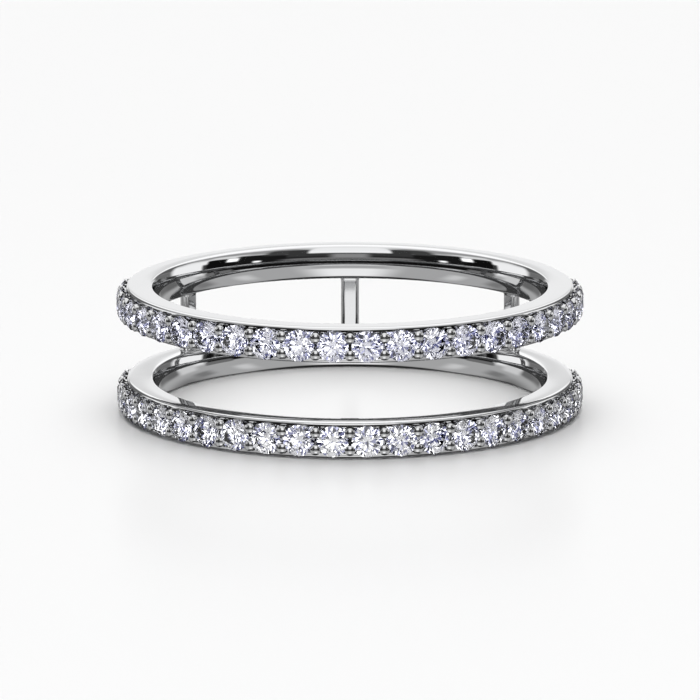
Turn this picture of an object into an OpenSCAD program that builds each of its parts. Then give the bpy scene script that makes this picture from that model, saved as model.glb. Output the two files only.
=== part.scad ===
// Ring guard enhancer: two slim bands joined behind the finger by three small bridges,
// each band set over its front half and a little past it with round stones held by shared beads.
// Millimetres. The finger's axis is Z, the lower band's under face lies at z = 0,
// and the middle of the stone rows faces -Y.

/* [Finger] */
// Inner diameter of the ring, a US size 5 3/4 finger
finger_d = 16.3; // [14:0.1:22]

/* [Bands] */
// Thickness of a band's wall, outwards from the finger
band_wall = 1.25; // [0.9:0.05:1.6]
// Width of a band, along the finger
band_w = 1.45; // [1.3:0.05:2]
// Clear space between the two bands
band_gap = 2.48; // [1:0.02:4]
// Radius of the crown across the wall that touches the finger
crown_r = 1.5; // [1.1:0.05:3]
// Width of the plain strip along the middle of that crown
crown_flat = 0.1; // [0.1:0.02:0.4]
// Radius of the rounding along a band's inner edges
inner_round = 0.1; // [0.02:0.01:0.2]
// Radius of the rounding along a band's outer edges
outer_round = 0.1; // [0.02:0.01:0.12]

/* [Bridges] */
// Width of a bridge, along the band
bridge_w = 0.78; // [0.5:0.02:1.5]
// Thickness of a bridge, outwards from the finger
bridge_t = 0.42; // [0.4:0.02:0.8]
// Radius of the rounding along a bridge's upright edges
bridge_round = 0.18; // [0.02:0.01:0.18]
// Angle of each side bridge from the one at the centre of the back
bridge_angle = 52.5; // [20:0.5:75]
// Depth to which a bridge's ends are soldered into the bands
bridge_root = 0.4; // [0.3:0.05:0.6]

/* [Stones] */
// Number of stones in each band
stones = 24; // [2:1:30]
// Diameter of a stone at its girdle
stone_d = 1.3; // [1:0.05:1.4]
// Clear space between one stone's girdle and the next one's
stone_gap = 0.105; // [0.1:0.005:0.3]
// Height of the girdle's middle above the band's outer face
stone_stand = 0.2; // [0.1:0.02:0.3]
// Thickness of the girdle
girdle_t = 0.04; // [0.02:0.01:0.08]
// Diameter of the table as a share of the stone's
table_share = 0.56; // [0.5:0.01:0.65]
// Reach of the star facets from the table's edge towards the girdle, as a share
star_share = 0.52; // [0.4:0.01:0.65]
// Reach of the lower girdle facets from the girdle towards the point, as a share
lower_share = 0.77; // [0.6:0.01:0.85]
// Slope of the crown's main facets
crown_angle = 34; // [28:1:38]
// Slope of the lower main facets
pavilion_angle = 41; // [38:1:43]

/* [Beads] */
// Diameter of a bead
bead_d = 0.44; // [0.3:0.02:0.46]
// Distance between the two beads that share one gap between stones
bead_pair = 0.7; // [0.56:0.02:0.8]
// Height of a bead's middle above the girdle's
bead_rise = -0.02; // [-0.05:0.01:0.12]
// Diameter of the stem under a bead
stem_d = 0.34; // [0.24:0.02:0.4]
// Width of the web that ties a stem to the rail beside it
web_w = 0.2; // [0.1:0.02:0.24]
// Height of that web above the rail
web_rise = 0.1; // [0.02:0.01:0.12]

/* [Clearances] */
// Clear space between a stone and the beads and stems that hold it
seat_gap = 0.02; // [0.01:0.005:0.05]
// Clear space between the stones' lower cones and the rails
rail_gap = 0.1; // [0.04:0.01:0.14]
// Clear space between the stones' points and the floor of their channel
floor_gap = 0.04; // [0.02:0.01:0.1]
// Metal between the last beads of a row and the end of its channel
end_gap = 0.02; // [0:0.01:0.2]

/* [Hidden] */

// Fineness of large and of small round shapes
ring_fn = 120;
small_fn = 32;
// Overlap that makes joined shapes one solid
joint = 0.05;
// Number of main facets round a cut stone, and the angle from one to the next
mains = 8;
main_step = 360 / mains;
half_step = main_step / 2;

finger_r = finger_d / 2;
outer_r = finger_r + band_wall;
upper_z = band_w + band_gap;
stone_r = stone_d / 2;
girdle_half = girdle_t / 2;
bead_r = bead_d / 2;
stem_r = stem_d / 2;

// The crown's middle, and the middle of the rounding that it meets at a band's inner edges
crown_mid_r = finger_r + crown_r;
corner_mid_z = band_w / 2 - inner_round;
crown_lean = asin((corner_mid_z - crown_flat / 2) / (crown_r - inner_round));
corner_mid_r = crown_mid_r - (crown_r - inner_round) * cos(crown_lean);
crown_end_z = crown_flat / 2 + crown_r * sin(crown_lean);

// Distances from the finger's axis
girdle_r = outer_r + stone_stand;
bead_level = girdle_r + bead_rise;

// Radii and heights of a cut stone's corners, measured from the middle of its girdle
table_r = table_share * stone_r;
table_z = girdle_half + (stone_r - table_r) * tan(crown_angle);
table_flat_r = table_r * cos(half_step);
star_r = table_flat_r + star_share * (stone_r - table_flat_r);
star_z = girdle_half + (stone_r - star_r * cos(half_step)) * tan(crown_angle);
lower_r = (1 - lower_share) * stone_r;
lower_z = -girdle_half - (stone_r - lower_r * cos(half_step)) * tan(pavilion_angle);
point_z = -girdle_half - stone_r * tan(pavilion_angle);

// Steepest slopes over and under the girdle, which the seats follow
crown_slope = (star_z - girdle_half) / (stone_r - star_r);
pavilion_slope = (-lower_z - girdle_half) / (stone_r - lower_r);

// The channel between a band's two rails
floor_r = girdle_r + point_z - floor_gap;
cone_at_rail = stone_r - (stone_stand - girdle_half) / tan(pavilion_angle);
channel_half = cone_at_rail + rail_gap;

// Angle from one stone to the next, with the girdles' lower edges stone_gap apart
girdle_edge = norm([girdle_r - girdle_half, stone_r]);
stone_step = 2 * (atan(stone_r / (girdle_r - girdle_half)) + asin(stone_gap / 2 / girdle_edge));
row_half = stones * stone_step / 2;
channel_angle = row_half + atan((bead_r + end_gap) / outer_r);

// Corner number k of a ring of corners at radius r and height z, turned by a share of a step
function corner(k, r, z, share = 0) = [
    r * cos((k + share) * main_step),
    r * sin((k + share) * main_step),
    z
];

// A round brilliant with its table upwards and the middle of its girdle at the origin
module brilliant() {
    girdle_sides = 2 * mains;
    eight = [0 : mains - 1];
    sixteen = [0 : girdle_sides - 1];
    points = concat(
        [for (k = eight) corner(k, table_r, table_z)],
        [for (k = eight) corner(k, star_r, star_z, 0.5)],
        [for (j = sixteen) corner(j / 2, stone_r, girdle_half)],
        [for (j = sixteen) corner(j / 2, stone_r, -girdle_half)],
        [for (k = eight) corner(k, lower_r, lower_z, 0.5)],
        [[0, 0, point_z]]
    );
    star = mains;
    top = 2 * mains;
    low = top + girdle_sides;
    inner = low + girdle_sides;
    tip = inner + mains;
    table_face = [[for (k = eight) mains - 1 - k]];
    star_faces = [for (k = eight) [(k + 1) % mains, k, star + k]];
    kite_faces = [for (k = eight)
        [k, star + (k + mains - 1) % mains, top + 2 * k, star + k]];
    upper_faces = [for (k = eight, s = [0, 1])
        [star + k, top + 2 * k + s, top + (2 * k + s + 1) % girdle_sides]];
    girdle_faces = [for (j = sixteen)
        [top + (j + 1) % girdle_sides, top + j, low + j, low + (j + 1) % girdle_sides]];
    lower_faces = [for (k = eight, s = [0, 1])
        [inner + k, low + (2 * k + s + 1) % girdle_sides, low + 2 * k + s]];
    main_faces = [for (k = eight)
        [tip, inner + k, low + 2 * k, inner + (k + mains - 1) % mains]];
    polyhedron(points, concat(table_face, star_faces, kite_faces, upper_faces,
        girdle_faces, lower_faces, main_faces));
}

// Puts a shape that points along +Z at a distance from the axis and an angle from the front
module outwards(angle, distance, z) {
    rotate([0, 0, angle]) translate([0, -distance, z]) rotate([90, 0, 0]) children();
}

// Section of a plain band: flat above and below, crowned towards the finger, with rounded edges
module band_section() {
    outer_mid = outer_r - outer_round;
    translate([0, band_w / 2]) {
        translate([finger_r, -crown_flat / 2])
            square([corner_mid_r + joint - finger_r, crown_flat]);
        translate([corner_mid_r, -band_w / 2]) square([outer_mid - corner_mid_r, band_w]);
        translate([outer_mid - joint, outer_round - band_w / 2])
            square([outer_round + joint, band_w - 2 * outer_round]);
        for (side = [0, 1]) mirror([0, side]) {
            intersection() {
                translate([crown_mid_r, crown_flat / 2]) circle(r = crown_r, $fn = ring_fn);
                translate([finger_r - joint, crown_flat / 2])
                    square([corner_mid_r + 2 * joint - finger_r, crown_end_z - crown_flat / 2]);
            }
            translate([corner_mid_r, corner_mid_z]) circle(r = inner_round, $fn = small_fn);
            translate([outer_mid, band_w / 2 - outer_round])
                circle(r = outer_round, $fn = small_fn);
        }
    }
}

// The channel that a band's stones lie over, between its two rails
module channel() {
    rotate_extrude(angle = 2 * channel_angle, start = -90 - channel_angle, $fn = ring_fn)
        translate([floor_r, band_w / 2 - channel_half])
            square([outer_r + joint - floor_r, 2 * channel_half]);
}

// The room that a stone takes up, with seat_gap all round
module seat_room() {
    wide = stone_r + seat_gap;
    rise = girdle_half + seat_gap;
    rotate_extrude($fn = small_fn) polygon([
        [0, -rise - wide * pavilion_slope],
        [wide, -rise],
        [wide, rise],
        [0, rise + wide * crown_slope]
    ]);
}

// A bead on its stem, and the web that ties the stem to the rail, before they are cut for stones
module raw_bead() {
    root = bead_level - floor_r + joint;
    web_top = outer_r + web_rise - bead_level;
    web_reach = channel_half + joint - bead_pair / 2;
    rotate_extrude($fn = small_fn) {
        intersection() {
            circle(r = bead_r, $fn = small_fn);
            translate([0, -bead_r]) square([bead_r, bead_d]);
        }
        translate([0, -root]) square([stem_r, root]);
    }
    translate([-web_w / 2, 0, -root]) cube([web_w, web_reach, root + web_top]);
}

// One of the pair of beads between two stones; side is 1 for the upper one and -1 for the lower
module bead(side) {
    difference() {
        outwards(0, bead_level, side * bead_pair / 2) mirror([0, side < 0 ? 1 : 0, 0]) raw_bead();
        for (turn = [-0.5, 0.5]) outwards(turn * stone_step, girdle_r, 0) seat_room();
    }
}

module set_band() {
    difference() {
        rotate_extrude($fn = ring_fn) band_section();
        channel();
    }
    for (k = [0 : stones], side = [-1, 1])
        rotate([0, 0, (k - stones / 2) * stone_step]) translate([0, 0, band_w / 2]) bead(side);
}

// A bridge's section: a bar with its corners rounded
module bridge_section() {
    long = bridge_w - 2 * bridge_round;
    deep = bridge_t - 2 * bridge_round;
    square([bridge_w, deep], center = true);
    square([long, bridge_t], center = true);
    for (x = [-1, 1], y = [-1, 1])
        translate([x * long / 2, y * deep / 2]) circle(r = bridge_round, $fn = small_fn);
}

module bridge(angle) {
    rotate([0, 0, angle]) translate([0, finger_r + band_wall / 2, band_w - bridge_root])
        linear_extrude(band_gap + 2 * bridge_root) bridge_section();
}

// Both bands, their beads and the three bridges, soldered into one piece of metal
module double_band() {
    color("silver") {
        set_band();
        translate([0, 0, upper_z]) set_band();
        for (side = [-1, 0, 1]) bridge(side * bridge_angle);
    }
}

// One band's stones, in a row centred on the front
module stone_row() {
    for (k = [0 : stones - 1])
        outwards((k + 0.5 - stones / 2) * stone_step, girdle_r, band_w / 2) brilliant();
}

module upper_stones() {
    color("lavender") translate([0, 0, upper_z]) stone_row();
}

module lower_stones() {
    color("lavender") stone_row();
}

double_band();
upper_stones();
lower_stones();
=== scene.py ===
import logging
import math
import random
from dataclasses import dataclass, field
from enum import Enum
from typing import Iterable, Sequence

import bmesh
import bpy
import numpy as np
from mathutils import Euler, Matrix, Vector


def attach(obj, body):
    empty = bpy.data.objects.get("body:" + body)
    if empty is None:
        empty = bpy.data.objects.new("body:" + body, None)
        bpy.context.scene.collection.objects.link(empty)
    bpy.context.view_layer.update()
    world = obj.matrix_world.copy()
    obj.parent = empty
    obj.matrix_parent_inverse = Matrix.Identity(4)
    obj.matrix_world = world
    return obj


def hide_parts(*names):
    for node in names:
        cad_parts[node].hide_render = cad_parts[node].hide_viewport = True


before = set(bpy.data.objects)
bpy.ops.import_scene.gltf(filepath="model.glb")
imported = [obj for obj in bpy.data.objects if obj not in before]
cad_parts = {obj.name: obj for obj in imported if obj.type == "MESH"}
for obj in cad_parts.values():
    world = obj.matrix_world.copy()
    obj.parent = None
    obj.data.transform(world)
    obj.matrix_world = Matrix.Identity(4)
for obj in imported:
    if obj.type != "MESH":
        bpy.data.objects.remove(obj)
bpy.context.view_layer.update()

MM = 0.001
BODY = "root"
CAST_AND_SHADE_ATTRIBUTE = "cast_and_shade"

Point = tuple[float, float, float]
RadiusHeight = tuple[float, float]

log = logging.getLogger("ring_guard")


class Slot(Enum):
    """The record's material slots."""

    METAL = "metal"
    STONES = "stones"


class Row(Enum):
    """The two bands, by the number of band pitches above the lower one."""

    LOWER = 0
    UPPER = 1


class Joining(Enum):
    """How a solid is combined with another one."""

    ADD = "UNION"
    CUT = "DIFFERENCE"


def arc(centre: RadiusHeight, radius: float, start: float, end: float,
        steps: int) -> list[RadiusHeight]:
    """Points along an arc, both ends included.

    Args:
        centre: Middle of the arc.
        radius: Its radius.
        start: Angle of the first point, in degrees.
        end: Angle of the last point, in degrees.
        steps: Number of straight steps between them.

    Returns:
        The points, in order.
    """
    angles = [math.radians(start + (end - start) * i / steps) for i in range(steps + 1)]
    return [(centre[0] + radius * math.cos(a), centre[1] + radius * math.sin(a)) for a in angles]


def placed(name: str, data: bpy.types.ID) -> bpy.types.Object:
    """Adds an object to the scene.

    Args:
        name: Its name.
        data: Its mesh or camera.

    Returns:
        The object.
    """
    thing = bpy.data.objects.new(name, data)
    bpy.context.scene.collection.objects.link(thing)
    return thing


@dataclass
class Shape:
    """A closed surface in millimetres, as points and faces.

    Attributes:
        points: Corners, one row each.
        faces: Corner numbers of each face, anticlockwise from outside.
    """

    points: np.ndarray
    faces: list[tuple[int, ...]]

    @classmethod
    def turned(cls, outline: Sequence[RadiusHeight], segments: int) -> "Shape":
        """Turns an outline that meets the axis at both ends round local Z.

        Args:
            outline: Radius and height of each point, from the bottom up.
            segments: Number of faces round the axis.

        Returns:
            The closed solid.
        """
        ring = [p for p in outline if p[0] > 0]
        points: list[Point] = [(0.0, 0.0, outline[0][1]), (0.0, 0.0, outline[-1][1])]
        for r, z in ring:
            for i in range(segments):
                a = math.tau * i / segments
                points.append((r * math.cos(a), r * math.sin(a), z))
        faces: list[tuple[int, ...]] = []
        for i in range(segments):
            j = (i + 1) % segments
            faces.append((0, 2 + j, 2 + i))
            for k in range(len(ring) - 1):
                low, high = 2 + k * segments, 2 + (k + 1) * segments
                faces.append((low + i, low + j, high + j, high + i))
            last = 2 + (len(ring) - 1) * segments
            faces.append((last + i, last + j, 1))
        return cls(np.array(points), faces)

    @classmethod
    def swept(cls, outline: Sequence[RadiusHeight], start: float, end: float,
              segments: int) -> "Shape":
        """Sweeps a closed outline round the finger's axis, which is Z.

        Args:
            outline: Radius and height of each corner, anticlockwise.
            start: Angle from the front of the first section, in degrees.
            end: Angle of the last one; a whole turn from start closes the ring.
            segments: Number of steps between them.

        Returns:
            The closed solid.
        """
        whole = abs(end - start) >= 360
        rings = segments if whole else segments + 1
        radius, height = np.array(outline).T
        angles = np.radians(start + (end - start) * np.arange(rings) / segments)
        x = np.sin(angles)[:, None] * radius
        y = -np.cos(angles)[:, None] * radius
        z = np.broadcast_to(height, x.shape)
        points = np.stack([x, y, z], axis=2).reshape(-1, 3)
        n = len(outline)
        faces: list[tuple[int, ...]] = []
        for i in range(segments):
            a, b = i * n, ((i + 1) % rings) * n
            for k in range(n):
                m = (k + 1) % n
                faces.append((a + k, b + k, b + m, a + m))
        if not whole:
            faces.append(tuple(range(n)))
            faces.append(tuple(range((rings - 1) * n, rings * n))[::-1])
        return cls(points, faces)

    @classmethod
    def block(cls, low: Point, high: Point) -> "Shape":
        """A rectangular block.

        Args:
            low: Its lowest corner on every axis.
            high: The opposite corner.

        Returns:
            The closed solid.
        """
        x, y, z = zip(low, high)
        points = [(x[i], y[j], z[k]) for i in (0, 1) for j in (0, 1) for k in (0, 1)]
        faces = [(0, 1, 3, 2), (4, 6, 7, 5), (0, 4, 5, 1), (2, 3, 7, 6), (0, 2, 6, 4), (1, 5, 7, 3)]
        return cls(np.array(points, float), faces)

    def moved(self, matrix: Matrix) -> "Shape":
        """The same shape in another place.

        Args:
            matrix: How it is moved, turned and perhaps mirrored.

        Returns:
            The moved shape, which still faces outwards.
        """
        m = np.array(matrix)
        faces = self.faces if matrix.determinant() > 0 else [f[::-1] for f in self.faces]
        return Shape(self.points @ m[:3, :3].T + m[:3, 3], faces)

    @staticmethod
    def gathered(shapes: Iterable["Shape"]) -> "Shape":
        """Puts shapes that don't touch together.

        Args:
            shapes: The shapes.

        Returns:
            All of them as one, in their order.
        """
        points: list[np.ndarray] = []
        faces: list[tuple[int, ...]] = []
        count = 0
        for shape in shapes:
            points.append(shape.points)
            faces.extend(tuple(i + count for i in f) for f in shape.faces)
            count += len(shape.points)
        return Shape(np.concatenate(points), faces)

    def mesh(self, name: str, scale: float = 1.0) -> bpy.types.Mesh:
        """A mesh of the shape.

        Args:
            name: Name of the mesh.
            scale: Factor on every point.

        Returns:
            The mesh, with its normals facing outwards.
        """
        mesh = bpy.data.meshes.new(name)
        mesh.from_pydata((self.points * scale).tolist(), [], self.faces)
        mesh.update()
        work = bmesh.new()
        work.from_mesh(mesh)
        bmesh.ops.recalc_face_normals(work, faces=work.faces)
        work.to_mesh(mesh)
        work.free()
        return mesh

    def joined(self, other: "Shape", how: Joining) -> "Shape":
        """This shape with another one added or cut away.

        Args:
            other: The other solid.
            how: Whether it is added or cut away.

        Returns:
            The resulting solid.
        """
        base = placed("joined_base", self.mesh("joined_base"))
        tool = placed("joined_tool", other.mesh("joined_tool"))
        step = base.modifiers.new("joining", "BOOLEAN")
        step.operation = how.value
        step.solver = "MANIFOLD"
        step.object = tool
        ready = base.evaluated_get(bpy.context.evaluated_depsgraph_get())
        result = bpy.data.meshes.new_from_object(ready)
        points = np.zeros(len(result.vertices) * 3)
        result.vertices.foreach_get("co", points)
        faces = [tuple(p.vertices) for p in result.polygons]
        for thing in (base, tool):
            leftover = thing.data
            bpy.data.objects.remove(thing)
            bpy.data.meshes.remove(leftover)
        bpy.data.meshes.remove(result)
        return Shape(points.reshape(-1, 3), faces)


@dataclass(frozen=True)
class BandSection:
    """Cross-section of one band, in millimetres.

    Attributes:
        finger_r: Radius of the finger hole.
        wall: Thickness outwards from the finger.
        width: Width along the finger.
        crown_r: Radius of the crown of the inner wall.
        crown_flat: Width of the plain strip along the middle of that crown.
        inner_round: Rounding of the inner edges.
        outer_round: Rounding of the outer edges.
        face_crest_r: Distance from the finger's axis of the crest of the barely domed faces.
        face_dome_r: Radius of that dome.
    """

    finger_r: float = 8.15
    wall: float = 1.25
    width: float = 1.45
    crown_r: float = 1.5
    crown_flat: float = 0.02
    inner_round: float = 0.1
    outer_round: float = 0.1
    face_crest_r: float = 9.05
    face_dome_r: float = 16.0

    @property
    def outer_r(self) -> float:
        """Radius of the outer face."""
        return self.finger_r + self.wall

    def outline(self) -> list[RadiusHeight]:
        """The section's outline.

        Returns:
            Its corners, anticlockwise from the under face.
        """
        middle, half_flat, q = self.width / 2, self.crown_flat / 2, self.inner_round
        dome = self.face_dome_r

        def face_drop(r: float) -> float:
            """How far the domed face lies below its crest at a radius."""
            return dome - math.sqrt(dome ** 2 - (r - self.face_crest_r) ** 2)

        crown_mid_r = self.finger_r + self.crown_r
        rise = middle - half_flat - q
        lean = math.degrees(math.asin(rise / (self.crown_r - q)))
        edge_r = crown_mid_r - math.sqrt((self.crown_r - q) ** 2 - rise ** 2)
        far = self.outer_r - self.outer_round
        face_steps, outer_steps, inner_steps, crown_steps = 8, 6, 7, 12
        across = [edge_r + (far - edge_r) * i / face_steps for i in range(1, face_steps)]
        low = self.outer_round + face_drop(far)
        inner_low = q + face_drop(edge_r)
        points = [(r, face_drop(r)) for r in across]
        points += arc((far, low), self.outer_round, 270, 360, outer_steps)
        points += arc((far, self.width - low), self.outer_round, 0, 90, outer_steps)
        points += [(r, self.width - face_drop(r)) for r in reversed(across)]
        points += arc((edge_r, self.width - inner_low), q, 90, 180 - lean, inner_steps)
        upper_crown, lower_crown = (crown_mid_r, middle + half_flat), (crown_mid_r, middle - half_flat)
        points += arc(upper_crown, self.crown_r, 180 - lean, 180, crown_steps)[1:]
        points += arc(lower_crown, self.crown_r, 180, 180 + lean, crown_steps)[:-1]
        points += arc((edge_r, inner_low), q, 180 + lean, 270, inner_steps)
        return points


@dataclass(frozen=True)
class BrilliantCut:
    """A round brilliant with its table along local +Z, in millimetres.

    Attributes:
        diameter: Diameter at the girdle.
        girdle: Thickness of the girdle.
        table_share: Diameter of the table as a share of the stone's.
        star_share: Reach of the star facets towards the girdle.
        lower_share: Reach of the lower girdle facets towards the point.
        crown_angle: Slope of the crown's main facets, in degrees.
        pavilion_angle: Slope of the lower main facets, in degrees.
        mains: Number of main facets.
    """

    diameter: float = 1.3
    girdle: float = 0.04
    table_share: float = 0.56
    star_share: float = 0.52
    lower_share: float = 0.77
    crown_angle: float = 34.0
    pavilion_angle: float = 41.0
    mains: int = 8

    @property
    def radius(self) -> float:
        """Radius at the girdle."""
        return self.diameter / 2

    @property
    def half_turn(self) -> float:
        """Half the angle from one main facet to the next, in radians."""
        return math.pi / self.mains

    @property
    def depth(self) -> float:
        """Depth of the point under the girdle's middle."""
        return self.girdle / 2 + self.radius * math.tan(math.radians(self.pavilion_angle))

    def star(self) -> RadiusHeight:
        """The star facets' outer corners.

        Returns:
            Their radius and height.
        """
        flat = self.table_share * self.radius * math.cos(self.half_turn)
        r = flat + self.star_share * (self.radius - flat)
        return r, self._crown_height(r * math.cos(self.half_turn))

    def lower(self) -> RadiusHeight:
        """The lower girdle facets' inner corners.

        Returns:
            Their radius and height.
        """
        r = (1 - self.lower_share) * self.radius
        inwards = self.radius - r * math.cos(self.half_turn)
        return r, -self.girdle / 2 - inwards * math.tan(math.radians(self.pavilion_angle))

    def _crown_height(self, r: float) -> float:
        """Height of the crown's main slope at a radius."""
        return self.girdle / 2 + (self.radius - r) * math.tan(math.radians(self.crown_angle))

    def shape(self) -> Shape:
        """Cuts the stone.

        Returns:
            Table, stars, kites, upper and lower girdle facets, girdle and mains.
        """
        n = self.mains
        half = self.girdle / 2
        table_r = self.table_share * self.radius
        star_r, star_z = self.star()
        lower_r, lower_z = self.lower()

        def ring(count: int, r: float, z: float, turn: float = 0.0) -> list[Point]:
            """Corners round the stone's axis."""
            angles = [math.tau * (k + turn) / count for k in range(count)]
            return [(r * math.cos(a), r * math.sin(a), z) for a in angles]

        points = ring(n, table_r, self._crown_height(table_r)) + ring(n, star_r, star_z, 0.5)
        points += ring(2 * n, self.radius, half) + ring(2 * n, self.radius, -half)
        points += ring(n, lower_r, lower_z, 0.5) + [(0.0, 0.0, -self.depth)]
        star, top, low, inner, tip = n, 2 * n, 4 * n, 6 * n, 7 * n
        faces: list[tuple[int, ...]] = [tuple(range(n))]
        for k in range(n):
            before, after = (k - 1) % n, (k + 1) % n
            girdle = [top + (2 * k + s) % (2 * n) for s in (0, 1, 2)]
            under = [g - top + low for g in girdle]
            faces += [(k, star + k, after), (k, star + before, girdle[0], star + k)]
            faces += [(star + k, girdle[0], girdle[1]), (star + k, girdle[1], girdle[2])]
            faces += [(girdle[s], under[s], under[s + 1], girdle[s + 1]) for s in (0, 1)]
            faces += [(under[0], inner + k, under[1]), (under[1], inner + k, under[2])]
            faces += [(tip, inner + k, under[0], inner + before)]
        return Shape(np.array(points), faces)


@dataclass(frozen=True)
class Layout:
    """Where the stones and beads of a band lie, in millimetres.

    Attributes:
        section: The band's section.
        cut: The stones' cut.
        stones: Number of stones in a band.
        gap: Clear space between one stone's girdle and the next one's.
        stand: Height of the girdle's middle above the band's outer face.
        band_gap: Clear space between the two bands.
    """

    section: BandSection = BandSection()
    cut: BrilliantCut = BrilliantCut()
    stones: int = 24
    gap: float = 0.105
    stand: float = 0.2
    band_gap: float = 2.48

    @property
    def girdle_r(self) -> float:
        """Distance of the girdles' middle from the finger's axis."""
        return self.section.outer_r + self.stand

    @property
    def step(self) -> float:
        """Angle from one stone to the next.

        Returns:
            The angle round the finger, in degrees.
        """
        level = self.girdle_r - self.cut.girdle / 2
        edge = math.hypot(level, self.cut.radius)
        half_step = math.atan(self.cut.radius / level) + math.asin(self.gap / 2 / edge)
        return math.degrees(2 * half_step)

    def pitch(self, row: Row) -> float:
        """Height of a band's under face."""
        return row.value * (self.section.width + self.band_gap)

    def outwards(self, angle: float, distance: float, height: float) -> Matrix:
        """Matrix that lays a shape's local Z outwards from the finger and its local Y along it.

        Args:
            angle: Angle from the front, in degrees.
            distance: Distance from the finger's axis.
            height: Height above the lower band's under face.

        Returns:
            The matrix.
        """
        turn = Matrix.Rotation(math.radians(angle), 4, "Z")
        place = Matrix.Translation((0.0, -distance, height))
        return turn @ place @ Matrix.Rotation(math.radians(90), 4, "X")


@dataclass
class PieceMaker:
    """Makes scene objects and gives them to the frame.

    Attributes:
        made: Names of the pieces made so far.
    """

    made: list[str] = field(default_factory=list)

    def hand_over(self, name: str, mesh: bpy.types.Mesh, node: str) -> bpy.types.Object:
        """Links a mesh as a piece that stands for a node of the frame.

        Args:
            name: Name of the piece.
            mesh: Its mesh, in metres.
            node: The node that it replaces.

        Returns:
            The piece.
        """
        piece = placed(name, mesh)
        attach(piece, BODY)
        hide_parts(node)
        self.made.append(name)
        log.info("%s: %d points, %d faces", name, len(mesh.vertices), len(mesh.polygons))
        return piece


class Blend(Enum):
    """What a mix node mixes: its data type, and its first, second and result sockets."""

    VALUE = ("FLOAT", 2, 3, 0)
    COLOUR = ("RGBA", 6, 7, 2)


class NodeGraph:
    """A short way to write a material's or a world's nodes."""

    def __init__(self, tree: bpy.types.NodeTree) -> None:
        """Empties a node tree and keeps it."""
        self.tree = tree
        self.tree.nodes.clear()

    def node(self, kind: str, **settings: object) -> bpy.types.Node:
        """Adds a node.

        Args:
            kind: Blender's name of the node type.
            **settings: Properties of the node; a value for an input socket is given in inputs.

        Returns:
            The node.
        """
        made = self.tree.nodes.new(kind)
        inputs = settings.pop("inputs", {})
        for key, value in settings.items():
            setattr(made, key, value)
        for key, value in inputs.items():
            if isinstance(value, bpy.types.NodeSocket):
                self.tree.links.new(value, made.inputs[key])
            else:
                made.inputs[key].default_value = value
        return made

    def math(self, operation: str, first: object, second: object = 0.0) -> bpy.types.NodeSocket:
        """Result of one arithmetic step on two values or sockets."""
        made = self.node("ShaderNodeMath", operation=operation, inputs={0: first, 1: second})
        return made.outputs[0]

    def over(self, value: object, edge: object, soft: float) -> bpy.types.NodeSocket:
        """A soft step from 0 to 1.

        Args:
            value: What is compared.
            edge: The value at which the step is half way.
            soft: Width of the step.

        Returns:
            The step, as a socket.
        """
        past = self.math("SUBTRACT", value, edge)
        made = self.node("ShaderNodeMapRange", interpolation_type="SMOOTHSTEP",
                         inputs={"Value": past, "From Min": -soft / 2, "From Max": soft / 2})
        return made.outputs["Result"]

    def mixed(self, blend: Blend, share: object, first: object, second: object,
              label: str = "") -> bpy.types.NodeSocket:
        """Goes from one value or colour to another.

        Args:
            blend: Whether it mixes values or colours.
            share: How far it has gone, from 0 to 1.
            first: What it starts from.
            second: What it ends at.
            label: Label of the node.

        Returns:
            The mixture, as a socket.
        """
        data_type, first_socket, second_socket, result_socket = blend.value
        made = self.node("ShaderNodeMix", data_type=data_type, label=label, inputs={
            0: share, first_socket: first, second_socket: second})
        return made.outputs[result_socket]

    def principled(self, inputs: dict[str, object]) -> None:
        """Ends a material's nodes with a principled surface."""
        surface = self.node("ShaderNodeBsdfPrincipled", inputs=inputs)
        self.node("ShaderNodeOutputMaterial", inputs={"Surface": surface.outputs["BSDF"]})


def blank_material(name: str) -> tuple[bpy.types.Material, NodeGraph]:
    """Starts a material.

    Args:
        name: Its name.

    Returns:
        The material and its emptied nodes.
    """
    material = bpy.data.materials.new(name)
    material.use_nodes = True
    return material, NodeGraph(material.node_tree)


@dataclass(frozen=True)
class PolishedWhiteGold:
    """Rhodium-bright polished white gold.

    Attributes:
        colour: Reflected colour.
        roughness: Least roughness of the polish.
        bloom: Roughness that handling adds in patches.
        bloom_mm: Size of those patches.
        bloom_range: Noise values at which a patch begins and is full.
        bloom_detail: Fineness of the patches' edges.
        ripple_mm: Size of the faint unevenness left by the wheel.
        ripple: Strength of that unevenness.
        ripple_height_mm: Height of the unevenness at full strength.
        ripple_detail: Fineness of the unevenness.
    """

    colour: tuple[float, float, float] = (0.88, 0.885, 0.895)
    roughness: float = 0.035
    bloom: float = 0.03
    bloom_mm: float = 2.5
    bloom_range: tuple[float, float] = (0.35, 0.75)
    bloom_detail: float = 4.0
    ripple_mm: float = 1.6
    ripple: float = 0.02
    ripple_height_mm: float = 0.02
    ripple_detail: float = 1.0

    def material(self) -> bpy.types.Material:
        """Makes the finish.

        Returns:
            The procedural material.
        """
        material, graph = blank_material("polished_white_gold")
        place = graph.node("ShaderNodeTexCoord").outputs["Object"]
        patches = graph.node("ShaderNodeTexNoise", inputs={
            "Vector": place, "Scale": 1 / (self.bloom_mm * MM), "Detail": self.bloom_detail})
        begins, full = self.bloom_range
        wear = graph.node("ShaderNodeMapRange", inputs={
            "Value": patches.outputs["Fac"], "From Min": begins, "From Max": full,
            "To Min": self.roughness, "To Max": self.roughness + self.bloom})
        uneven = graph.node("ShaderNodeTexNoise", inputs={
            "Vector": place, "Scale": 1 / (self.ripple_mm * MM), "Detail": self.ripple_detail})
        bump = graph.node("ShaderNodeBump", inputs={
            "Height": uneven.outputs["Fac"], "Strength": self.ripple,
            "Distance": self.ripple_height_mm * MM})
        graph.principled({
            "Base Color": (*self.colour, 1.0), "Metallic": 1.0,
            "Roughness": wear.outputs["Result"], "Normal": bump.outputs["Normal"]})
        return material


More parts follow.
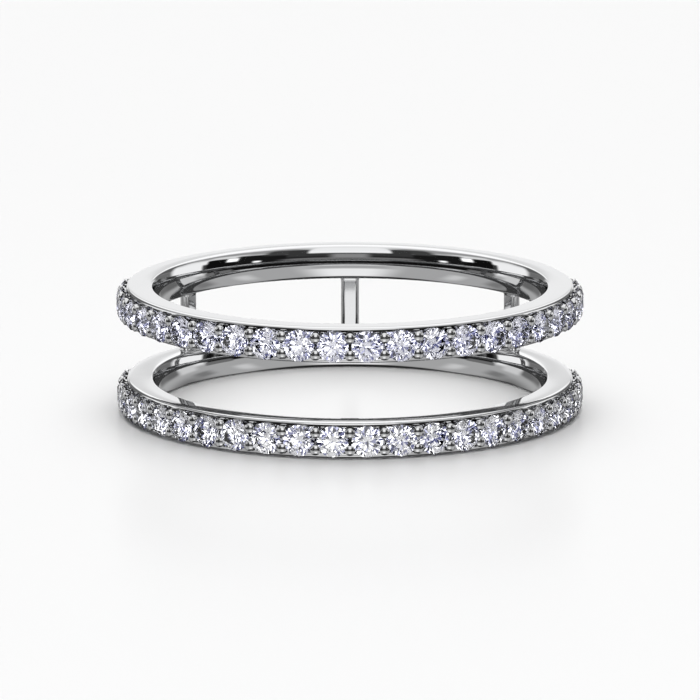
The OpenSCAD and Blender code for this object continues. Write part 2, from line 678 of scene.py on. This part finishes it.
@dataclass(frozen=True)
class Diamond:
    """Clear colourless diamond with a cool tint that varies from stone to stone; its deep tint also
    darkens stones as painted shade.

    Attributes:
        ior: Index of refraction.
        pale: Tint of the clearest stones.
        deep: Tint of the coolest stones, made darker as painted shade.
    """

    ior: float = 2.42
    pale: tuple[float, float, float] = (0.975, 0.98, 1.0)
    deep: tuple[float, float, float] = (0.77, 0.775, 0.88)

    def material(self) -> bpy.types.Material:
        """Makes the finish.

        Returns:
            The procedural material, whose tint varies from stone to stone and paints shade on the
            stones that take the deep tint.
        """
        material, graph = blank_material("diamond")
        # Each stone's share of the deep tint: partly a cool tint, partly painted shade that darkens
        # the stone.
        cast_and_shade = graph.node("ShaderNodeAttribute", attribute_name=CAST_AND_SHADE_ATTRIBUTE).outputs["Fac"]
        tint = graph.mixed(Blend.COLOUR, cast_and_shade, (*self.pale, 1.0), (*self.deep, 1.0))
        graph.principled({
            "Base Color": tint, "Roughness": 0.0, "IOR": self.ior, "Transmission Weight": 1.0})
        return material


@dataclass(frozen=True)
class PaleFloor:
    """A smooth near-white tabletop with a faint gloss.

    Attributes:
        colour: Its colour.
        roughness: Roughness of the gloss.
        gloss: Strength of the gloss.
    """

    colour: tuple[float, float, float] = (0.93, 0.93, 0.93)
    roughness: float = 0.2
    gloss: float = 0.02

    def material(self) -> bpy.types.Material:
        """Makes the finish.

        Returns:
            The material.
        """
        material, graph = blank_material("pale_floor")
        graph.principled({
            "Base Color": (*self.colour, 1.0), "Roughness": self.roughness,
            "Specular IOR Level": self.gloss})
        return material


@dataclass
class Bead:
    """A bead pressed over the edges of two stones, on its stem, tied to the rail by a web.

    Attributes:
        layout: Where the stones lie.
        diameter: Diameter of the bead.
        dome_r: Radius of its low dome.
        edge: Rounding of the dome's edge.
        stem: Diameter of the stem.
        spread: Distance between the two beads of a pair.
        rise: Height of the bead's middle above the girdles'.
        web: Width of the web.
        web_rise: Height of the web above the rail.
        overlap: Depth to which the stem and the web run into the band.
        sides: Faces round the bead.
        edge_steps: Steps across the rounded edge of the dome.
    """

    layout: Layout
    diameter: float = 0.44
    dome_r: float = 0.3
    edge: float = 0.05
    stem: float = 0.34
    spread: float = 0.7
    rise: float = -0.02
    web: float = 0.2
    web_rise: float = 0.1
    overlap: float = 0.05
    sides: int = 24
    edge_steps: int = 3

    @property
    def level(self) -> float:
        """Distance of the bead's middle from the finger's axis."""
        return self.layout.girdle_r + self.rise

    def shape(self, side: int, floor_r: float, channel_half: float) -> Shape:
        """One bead at the front of the lower band.

        Args:
            side: 1 for the upper bead of a pair, -1 for the lower one.
            floor_r: Distance of the channel's floor from the finger's axis.
            channel_half: Half the width of the channel.

        Returns:
            The bead, its stem and its web.
        """
        r = self.diameter / 2
        root = self.level - floor_r + self.overlap
        stem_r = self.stem / 2
        dome_mid, edge_r = r - self.dome_r, r - self.edge
        edge_mid = (edge_r, dome_mid + math.sqrt((self.dome_r - self.edge) ** 2 - edge_r ** 2))
        lean = math.degrees(math.atan2(edge_mid[0], edge_mid[1] - dome_mid))
        dome = arc(edge_mid, self.edge, 0, 90 - lean, self.edge_steps)
        dome += arc((0.0, dome_mid), self.dome_r, 90 - lean, 90, self.sides // 4)[1:-1]
        rim = (r, stem_r - r + self.edge)
        foot = [(0.0, -root), (stem_r, -root), (stem_r, 0.0), rim]
        body = Shape.turned(foot + dome + [(0.0, r)], self.sides)
        top = self.layout.section.outer_r + self.web_rise - self.level
        reach = channel_half + self.overlap - self.spread / 2
        web = Shape.block((-self.web / 2, 0.0, -root), (self.web / 2, reach, top))
        mirror = Matrix.Scale(side, 4, (0.0, 1.0, 0.0))
        middle = self.layout.section.width / 2
        place = self.layout.outwards(0.0, self.level, middle + side * self.spread / 2) @ mirror
        return body.joined(web, Joining.ADD).moved(place)


@dataclass
class Bridge:
    """One of the bars that join the two bands behind the finger.

    Attributes:
        layout: Where the bands lie.
        width: Width along the band.
        thickness: Thickness outwards from the finger.
        rounding: Rounding of the upright edges.
        root: Depth to which the ends run into the bands.
        foot: Spread of the solder where the bar meets a band.
        foot_rise: Height over which that spread dies away.
    """

    layout: Layout
    width: float = 0.78
    thickness: float = 0.42
    rounding: float = 0.18
    root: float = 0.4
    foot: float = 0.045
    foot_rise: float = 0.16

    def shape(self, angle: float) -> Shape:
        """One bar.

        Args:
            angle: Its angle from the back, in degrees.

        Returns:
            The bar, with its ends inside both bands.
        """
        half_w, half_t, q = self.width / 2, self.thickness / 2, self.rounding
        corner_steps, foot_steps = 6, 6
        outline: list[RadiusHeight] = []
        for sx, sy, start in ((1, 1, 0), (-1, 1, 90), (-1, -1, 180), (1, -1, 270)):
            corner = (sx * (half_w - q), sy * (half_t - q))
            outline += arc(corner, q, start, start + 90, corner_steps)
        low = self.layout.section.width
        high = low + self.layout.band_gap
        levels: list[tuple[float, float]] = [(low - self.root, self.foot), (low, self.foot)]
        for i in range(1, foot_steps + 1):
            share = i / foot_steps
            levels.append((low + share * self.foot_rise, self.foot * (1 - share) ** 2))
        levels += [(high - (z - low), spread) for z, spread in reversed(levels[1:])]
        levels.append((high + self.root, self.foot))
        points: list[Point] = []
        for z, spread in levels:
            grow_x, grow_y = 1 + spread / half_w, 1 + spread / half_t
            points += [(x * grow_x, y * grow_y, z) for x, y in outline]
        n = len(outline)
        faces: list[tuple[int, ...]] = [tuple(range(n))[::-1]]
        for k in range(len(levels) - 1):
            for i in range(n):
                j = (i + 1) % n
                faces.append((k * n + i, k * n + j, (k + 1) * n + j, (k + 1) * n + i))
        faces.append(tuple(range((len(levels) - 1) * n, len(levels) * n)))
        middle_r = self.layout.section.finger_r + self.layout.section.wall / 2
        turn = Matrix.Rotation(math.radians(angle), 4, "Z")
        return Shape(np.array(points), faces).moved(turn @ Matrix.Translation((0.0, middle_r, 0.0)))


@dataclass
class DoubleBand:
    """The metal: both bands, their channels and beads, and the three bridges, as one solid.

    Attributes:
        layout: Where everything lies.
        finish: The polish.
        rail_gap: Clear space between the stones' lower cones and the rails.
        floor_gap: Clear space between the stones' points and the channel's floor.
        end_gap: Metal between the last beads of a row and the end of its channel.
        bridge_angles: Angles of the bridges from the back, in degrees.
        segments: Steps round a whole band.
        sharp_angle: Angle between two faces from which their edge is drawn sharp, in degrees.
        evenness: How far the large faces rule the shading of the small ones, from 1 to 100.
    """

    layout: Layout
    finish: PolishedWhiteGold
    rail_gap: float = 0.1
    floor_gap: float = 0.04
    end_gap: float = 0.02
    bridge_angles: tuple[float, ...] = (-52.5, 0.0, 52.5)
    segments: int = 432
    sharp_angle: float = 32.0
    evenness: int = 60

    @property
    def floor_r(self) -> float:
        """Distance of the channel's floor from the finger's axis."""
        return self.layout.girdle_r - self.layout.cut.depth - self.floor_gap

    @property
    def channel_half(self) -> float:
        """Room between the rails.

        Returns:
            Half the clear width.
        """
        cut = self.layout.cut
        slope = math.tan(math.radians(cut.pavilion_angle))
        return cut.radius - (self.layout.stand - cut.girdle / 2) / slope + self.rail_gap

    def plain_band(self) -> Shape:
        """One whole band at the lower place, before the channel is cut."""
        return Shape.swept(self.layout.section.outline(), 0.0, 360.0, self.segments)

    def channel(self, bead: Bead) -> Shape:
        """The channel under a row of stones.

        Args:
            bead: The bead whose size sets the ends of the channel.

        Returns:
            The space that is cut away.
        """
        section = self.layout.section
        past = math.degrees(math.atan((bead.diameter / 2 + self.end_gap) / section.outer_r))
        half_angle = self.layout.stones * self.layout.step / 2 + past
        top = section.outer_r + bead.overlap
        low, high = section.width / 2 - self.channel_half, section.width / 2 + self.channel_half
        outline = [(self.floor_r, low), (top, low), (top, high), (self.floor_r, high)]
        return Shape.swept(outline, -half_angle, half_angle, self.segments // 2)

    def shape(self) -> Shape:
        """Joins all the metal.

        Returns:
            The one closed solid.
        """
        bead = Bead(self.layout)
        band = self.plain_band().joined(self.channel(bead), Joining.CUT)
        pair = Shape.gathered(bead.shape(side, self.floor_r, self.channel_half) for side in (-1, 1))
        beads = []
        for k in range(self.layout.stones + 1):
            turn = math.radians((k - self.layout.stones / 2) * self.layout.step)
            beads.append(pair.moved(Matrix.Rotation(turn, 4, "Z")))
        set_band = band.joined(Shape.gathered(beads), Joining.ADD)
        levels = [Matrix.Translation((0.0, 0.0, self.layout.pitch(row))) for row in Row]
        bands = [set_band.moved(level) for level in levels]
        bridge = Bridge(self.layout)
        bridges = Shape.gathered(bridge.shape(angle) for angle in self.bridge_angles)
        return Shape.gathered(bands).joined(bridges, Joining.ADD)

    def build(self, maker: PieceMaker) -> bpy.types.Object:
        """Makes the metal piece and dresses it.

        Args:
            maker: Takes the finished piece.

        Returns:
            The piece.
        """
        mesh = self.shape().mesh("double_band_polished", MM)
        mesh.shade_smooth()
        mesh.set_sharp_from_angle(angle=math.radians(self.sharp_angle))
        mesh.materials.append(self.finish.material())
        piece = maker.hand_over("double_band_polished", mesh, "double_band")
        even = piece.modifiers.new("even_faces", "WEIGHTED_NORMAL")
        even.keep_sharp = True
        even.weight = self.evenness
        return piece


@dataclass
class StoneRow:
    """One band's stones, each turned by chance about its own axis.

    Attributes:
        layout: Where the stones lie.
        row: Which band they belong to.
        material: The diamond finish.
        lean: Largest tilt of a stone in its seat, in degrees.
        casts_and_shades: Least and greatest share of the deep tint for a stone in the row, from 0 to
            1; high shares are painted shade that darkens the row.
        seed: Start of the lower row's draws; the upper row's is one more.
    """

    layout: Layout
    row: Row
    material: bpy.types.Material
    lean: float = 0.7
    casts_and_shades: tuple[float, float] = (0.0, 1.0)
    seed: int = 17

    def build(self, maker: PieceMaker) -> bpy.types.Object:
        """Makes the row and dresses it.

        Args:
            maker: Takes the finished piece.

        Returns:
            The piece.
        """
        chance = random.Random(self.seed + self.row.value)
        cut = self.layout.cut.shape()
        height = self.layout.pitch(self.row) + self.layout.section.width / 2
        stones: list[Shape] = []
        casts_and_shades: list[float] = []
        for k in range(self.layout.stones):
            angle = (k + 0.5 - self.layout.stones / 2) * self.layout.step
            lean = [math.radians(chance.uniform(-self.lean, self.lean)) for _ in range(2)]
            spin = Matrix.Rotation(chance.uniform(0, math.tau), 4, "Z")
            tilt = Euler((lean[0], lean[1], 0.0)).to_matrix().to_4x4()
            seat = self.layout.outwards(angle, self.layout.girdle_r, height)
            stones.append(cut.moved(seat @ tilt @ spin))
            # A random share of the deep tint for each stone: a cool tint that varies at random, and
            # painted shade where the share is high.
            casts_and_shades += [chance.uniform(*self.casts_and_shades)] * len(cut.faces)
        name = f"{self.row.name.lower()}_stones_cut"
        mesh = Shape.gathered(stones).mesh(name, MM)
        cast_and_shade = mesh.attributes.new(CAST_AND_SHADE_ATTRIBUTE, "FLOAT", "FACE")
        cast_and_shade.data.foreach_set("value", casts_and_shades)
        mesh.shade_flat()
        mesh.materials.append(self.material)
        return maker.hand_over(name, mesh, f"{self.row.name.lower()}_stones")


@dataclass(frozen=True)
class Card:
    """A soft-edged patch of the studio's walls, and its mirror image on the other side.

    Attributes:
        name: What it is, as the label of its node.
        azimuth: Its middle's direction: 0 behind the ring, 90 beside it, 180 at the camera.
        width: Its width, in degrees; one of more than 360 goes all the way round.
        low: Elevation of its lower edge, in degrees.
        high: Elevation of its upper edge, in degrees.
        light: Brightness inside it.
        soft: Width of its soft sides, in degrees.
        fade: Height of its soft lower edge and of its soft upper edge, in degrees.
    """

    name: str
    azimuth: float
    width: float
    low: float
    high: float
    light: float
    soft: float = 4.0
    fade: tuple[float, float] = (4.0, 4.0)


@dataclass(frozen=True)
class GemLight:
    """Panels of light that sparkle in the stones, seen only through them.

    Attributes:
        panels: Fineness of the panels.
        bright: Brightness of the palest panels.
        cool: Tint of the panels of middling brightness.
        deep: Tint of the dim panels.
        dark: Tint of the darkest panels.
        shares: Shares of the panels that are dark, dim or darker, and cool or darker.
    """

    panels: float = 6.0
    bright: float = 3.6
    cool: tuple[float, float, float] = (0.8, 0.82, 1.16)
    deep: tuple[float, float, float] = (0.2, 0.21, 0.4)
    dark: tuple[float, float, float] = (0.015, 0.02, 0.05)
    shares: tuple[float, float, float] = (0.32, 0.45, 0.62)


@dataclass
class Studio:
    """Floor, walls of light and camera.

    Attributes:
        floor: The floor's finish.
        gem_light: The panels seen through the stones.
        elevation: Height of the camera above the floor, in degrees, seen from the ring.
        distance: Distance of the camera from the middle of the under face, in millimetres.
        aim_up: How far the camera is turned up from there, in degrees.
        focal_px: Focal length in pixels of a 700 pixel frame.
        clip: Nearest and farthest distance that the camera sees, in millimetres.
        floor_half: Half the floor's width, in millimetres.
        ambient: Brightness of a floor that nothing shades, for a white one.
        arch_lean: How far behind the zenith the middle of the floor's light lies, in degrees.
        arch_reach: How tightly that light keeps to its middle, from front to back.
        arch_narrow: How tightly it keeps to its middle, from side to side.
        dome: Brightness of the walls between the cards.
        echo_dome: Brightness of the walls between the cards after a second reflection.
        through: Brightness of all that the metal reflects into a stone.
        cards: Bright and dark cards, the later ones in front.
        echo_cards: The cards that second and later reflections in the metal meet.
    """

    floor: PaleFloor
    gem_light: GemLight = GemLight()
    elevation: float = 12.492
    distance: float = 234.28
    aim_up: float = 0.601
    focal_px: float = 5544.66
    clip: tuple[float, float] = (10.0, 5000.0)
    floor_half: float = 1500.0
    ambient: float = 1.045
    arch_lean: float = 8.0
    arch_reach: float = 2.6
    arch_narrow: float = 4.5
    dome: float = 0.86
    echo_dome: float = 0.05
    through: float = 1.0
    cards: tuple[Card, ...] = (
        Card("wall behind", 0, 70, 13.2, 50, 1.1, soft=20, fade=(0.8, 24)),
        Card("table all round", 180, 400, -100, -9, 0.4, fade=(4, 6)),
        Card("low wall behind", 0, 130, -7, 13.2, 0.91, soft=20, fade=(4, 0.6)),
        Card("thin rail behind", 0, 50, 11.9, 13.3, 0.72, soft=20, fade=(0.8, 0.6)),
        Card("grey slope at the side", 95, 110, 26, 56, 0.32, soft=24, fade=(10, 18)),
        Card("dark corner behind", 36, 46, 8, 36, 0.11, soft=20, fade=(8, 16)),
        Card("foot of the dark corner", 35, 30, -15, 10, 0.16, soft=10, fade=(6, 4)),
        Card("step at that foot", 45, 18, -14, -5, 0.14, soft=8),
        Card("white side panel", 68, 36, 0, 20, 0.96, soft=8, fade=(3, 12)),
        Card("foot of the side panel", 64, 18, -17, -1, 0.64, soft=8, fade=(6, 2)),
        Card("dark edge of the side panel", 84, 7, -6, 13, 0.05, soft=3, fade=(4, 3)),
        Card("grey table behind", 0, 130, -100, -26, 0.2, soft=30, fade=(4, 14)),
        Card("grey patch at the side", 72, 16, -36, -24, 0.2, soft=12, fade=(8, 6)),
        Card("dark table behind", 0, 90, -100, -35, 0.03, soft=10, fade=(4, 8)),
        Card("dark strip behind", 0, 46, -100, -19, 0.04, soft=8, fade=(4, 6)),
        Card("pale patch at the side", 106, 12, -44, -28, 0.62, soft=10, fade=(14, 8)),
        Card("black wall in front", 180, 192, -13.6, 21.5, 0.005, soft=3, fade=(1, 3)),
        Card("grey end of the black wall", 93, 22, -13.6, -7, 0.16, fade=(1, 3)),
        Card("foot of the black wall", 113, 18, -16, -10.8, 0.4, fade=(2, 1.5)),
        Card("pale strip at the side", 98, 30, 24, 32, 0.75, soft=12, fade=(4, 5)),
        Card("black panel in front", 124, 34, 0, 25, 0.01, soft=6, fade=(4, 3)),
        Card("dark panel above it", 140, 28, 21, 42, 0.055, soft=8, fade=(6, 8)),
        Card("dark frame over the camera", 180, 78, 12, 36, 0.04, soft=3, fade=(10, 10)),
        Card("window over the camera", 180, 52, 23.5, 46, 1.0, soft=3, fade=(3, 40)),
        Card("large lamp", 104, 8, 13, 20.5, 1.5, soft=3, fade=(3, 3)),
        Card("small lamp", 122, 5, 4.5, 9, 1.2, soft=3, fade=(2, 2)),
        Card("grey strip in front", 180, 80, 3, 8.5, 0.17, soft=16, fade=(2, 3)),
        Card("grey patch in front", 180, 22, 8, 20, 0.26, soft=8),
        Card("white table in front", 180, 50, -100, -10.5, 0.92, soft=30, fade=(4, 1.5)),
        Card("grey strip on that table", 180, 60, -28, -17, 0.4, soft=20, fade=(6, 4)),
        Card("dark floor underneath", 0, 400, -100, -60, 0.02, fade=(4, 10)),
    )
    echo_cards: tuple[Card, ...] = (
        Card("ceiling all round", 0, 400, 34, 100, 0.3, fade=(6, 4)),
        Card("ceiling in front", 180, 170, 42, 100, 0.5, soft=10, fade=(8, 4)),
        Card("window over the camera", 180, 40, 27, 100, 0.85, soft=6),
        Card("white panel in front", 126, 34, 10, 24, 0.85, soft=6),
        Card("white panel by the camera", 150, 14, 3, 13, 0.8, soft=6),
        Card("grey panel behind", 44, 14, 8, 22, 0.4, soft=6, fade=(3, 4)),
        Card("grey panel at the side", 74, 16, 5, 20, 0.25, soft=8),
        Card("foot of that panel", 76, 10, -17, -9, 0.2, soft=6),
        Card("table behind", 0, 90, -100, -28, 0.5, soft=20, fade=(4, 14)),
    )

    def build(self) -> None:
        """Makes everything in the studio."""
        self._camera()
        self._floor()
        self._walls()

    def _camera(self) -> None:
        """Stands the camera where the photograph was taken from."""
        frame_px, sensor = 700.0, 36.0
        data = bpy.data.cameras.new("camera")
        data.sensor_width = sensor
        data.lens = sensor * self.focal_px / frame_px
        data.clip_start, data.clip_end = (distance * MM for distance in self.clip)
        camera = placed("camera", data)
        e = math.radians(self.elevation)
        camera.location = Vector((0.0, -math.cos(e), math.sin(e))) * self.distance * MM
        camera.rotation_euler = (math.radians(90 - self.elevation + self.aim_up), 0.0, 0.0)
        bpy.context.scene.camera = camera

    def _floor(self) -> None:
        """Lays the floor under the lower band."""
        half = self.floor_half * MM
        mesh = bpy.data.meshes.new("floor")
        corners = [(-half, -half, 0), (half, -half, 0), (half, half, 0), (-half, half, 0)]
        mesh.from_pydata(corners, [], [(0, 1, 2, 3)])
        mesh.materials.append(self.floor.material())
        floor = placed("floor", mesh)
        floor.visible_glossy = False

    def _walls(self) -> None:
        """Paints the walls by direction, apart for first and later reflections, stones and floor."""
        world = bpy.data.worlds.new("studio_walls")
        world.use_nodes = True
        world.cycles.sampling_method = "NONE"
        bpy.context.scene.world = world
        graph = NodeGraph(world.node_tree)
        way = graph.node("ShaderNodeTexCoord").outputs["Generated"]
        path = graph.node("ShaderNodeLightPath")
        after_one_reflection, after_no_stone = 2.5, 0.5
        again = graph.math("GREATER_THAN", path.outputs["Ray Depth"], after_one_reflection)
        first = self._painted(graph, way, self.dome, self.cards)
        later = self._painted(graph, way, self.echo_dome, self.echo_cards)
        light = graph.mixed(Blend.VALUE, again, first, later)
        passed = graph.math("GREATER_THAN", path.outputs["Transmission Depth"], after_no_stone)
        light = graph.mixed(Blend.VALUE, passed, light, self.through)
        white = (1.0, 1.0, 1.0, 1.0)
        metal = graph.node("ShaderNodeBackground", inputs={"Color": white, "Strength": light})
        stones = graph.node("ShaderNodeBackground", inputs={"Color": self._panels(graph, way)})
        over_floor = self._arch(graph, way)
        arch = graph.node("ShaderNodeBackground", inputs={"Color": white, "Strength": over_floor})
        seen = graph.node("ShaderNodeMixShader", inputs={
            0: path.outputs["Is Transmission Ray"], 1: metal.outputs[0], 2: stones.outputs[0]})
        lit = graph.node("ShaderNodeMixShader", inputs={
            0: path.outputs["Is Diffuse Ray"], 1: seen.outputs[0], 2: arch.outputs[0]})
        graph.node("ShaderNodeOutputWorld", inputs={"Surface": lit.outputs[0]})

    def _painted(self, graph: NodeGraph, way: bpy.types.NodeSocket, dome: float,
                 cards: Sequence[Card]) -> bpy.types.NodeSocket:
        """Brightness of the walls in the metal.

        Args:
            graph: The world's nodes.
            way: Direction in which the walls are seen.
            dome: Brightness between the cards.
            cards: The cards, the later ones in front.

        Returns:
            The brightness, as a socket.
        """
        axes = graph.node("ShaderNodeSeparateXYZ", inputs={"Vector": way})
        x, y, z = (axes.outputs[name] for name in "XYZ")
        half_turn = 180.0
        azimuth = graph.math("MULTIPLY", graph.math("ARCTAN2", x, y), half_turn / math.pi)
        either_side = graph.math("ABSOLUTE", azimuth)
        elevation = graph.math("MULTIPLY", graph.math("ARCSINE", z), half_turn / math.pi)
        light: object = dome
        for card in cards:
            off = graph.math("ABSOLUTE", graph.math("SUBTRACT", either_side, card.azimuth))
            across = graph.over(card.width / 2, off, card.soft)
            above = graph.over(elevation, card.low, card.fade[0])
            below = graph.over(card.high, elevation, card.fade[1])
            cover = graph.math("MULTIPLY", across, graph.math("MULTIPLY", above, below))
            light = graph.mixed(Blend.VALUE, cover, light, card.light, card.name)
        return light

    def _arch(self, graph: NodeGraph, way: bpy.types.NodeSocket) -> bpy.types.NodeSocket:
        """Brightness of the arch of light over the ring that lights the floor.

        Args:
            graph: The world's nodes.
            way: Direction in which the walls are seen.

        Returns:
            The brightness, as a socket.
        """
        lean = math.radians(self.arch_lean)
        middle = (0.0, math.sin(lean), math.cos(lean))
        side_power = self.arch_narrow - self.arch_reach / 2
        rings, spokes = 200, 400
        heights, turns = ((np.arange(count) + 0.5) / count for count in (rings, spokes))
        rise, turn = np.meshgrid(heights, math.tau * turns)
        flat = np.sqrt(1 - rise ** 2)
        x, y = flat * np.sin(turn), flat * np.cos(turn)
        along = np.maximum(y * middle[1] + rise * middle[2], 0.0)
        # The floor's light, as a share of what a sky of brightness 1 all over gives it
        share = 2 * float(np.mean((1 - x ** 2) ** side_power * along ** self.arch_reach * rise))
        aligned = graph.node("ShaderNodeVectorMath", operation="DOT_PRODUCT", inputs={
            0: way, 1: middle}).outputs["Value"]
        reach = graph.math("POWER", graph.math("MAXIMUM", aligned, 0.0), self.arch_reach)
        side = graph.node("ShaderNodeSeparateXYZ", inputs={"Vector": way}).outputs["X"]
        flank = graph.math("SUBTRACT", 1.0, graph.math("MULTIPLY", side, side))
        narrow = graph.math("POWER", flank, side_power)
        return graph.math("MULTIPLY", graph.math("MULTIPLY", reach, narrow), self.ambient / share)

    def _panels(self, graph: NodeGraph, way: bpy.types.NodeSocket) -> bpy.types.NodeSocket:
        """Colour of the walls through the stones.

        Args:
            graph: The world's nodes.
            way: Direction in which the walls are seen.

        Returns:
            The colour, as a socket.
        """
        gem = self.gem_light
        cells = graph.node("ShaderNodeTexVoronoi", inputs={"Vector": way, "Scale": gem.panels})
        split = graph.node("ShaderNodeSeparateColor", inputs={"Color": cells.outputs["Color"]})
        tint = graph.node("ShaderNodeValToRGB", inputs={"Fac": split.outputs["Red"]})
        ramp = tint.color_ramp
        ramp.interpolation = "CONSTANT"
        ramp.elements[0].color = (*gem.dark, 1.0)
        ramp.elements.remove(ramp.elements[1])
        for share, colour in zip(gem.shares, (gem.deep, gem.cool, (gem.bright,) * 3)):
            ramp.elements.new(share).color = (*colour, 1.0)
        return tint.outputs["Color"]


def main() -> None:
    """Builds the ring guard and its studio, in order."""
    logging.basicConfig(level=logging.INFO, format="%(message)s")
    bpy.context.scene.view_settings.view_transform = "Standard"
    Studio(PaleFloor()).build()
    layout = Layout()
    maker = PieceMaker()
    DoubleBand(layout, PolishedWhiteGold()).build(maker)
    diamond = Diamond().material()
    # The lower row keeps near the pale tint and the upper row takes the deep one, painted shade that
    # makes the upper stones darker.
    StoneRow(layout, Row.LOWER, diamond, casts_and_shades=(0.0, 0.3)).build(maker)
    StoneRow(layout, Row.UPPER, diamond, casts_and_shades=(0.65, 1.0)).build(maker)
    log.info("pieces: %s", ", ".join(maker.made))


if __name__ == "__main__":
    main()
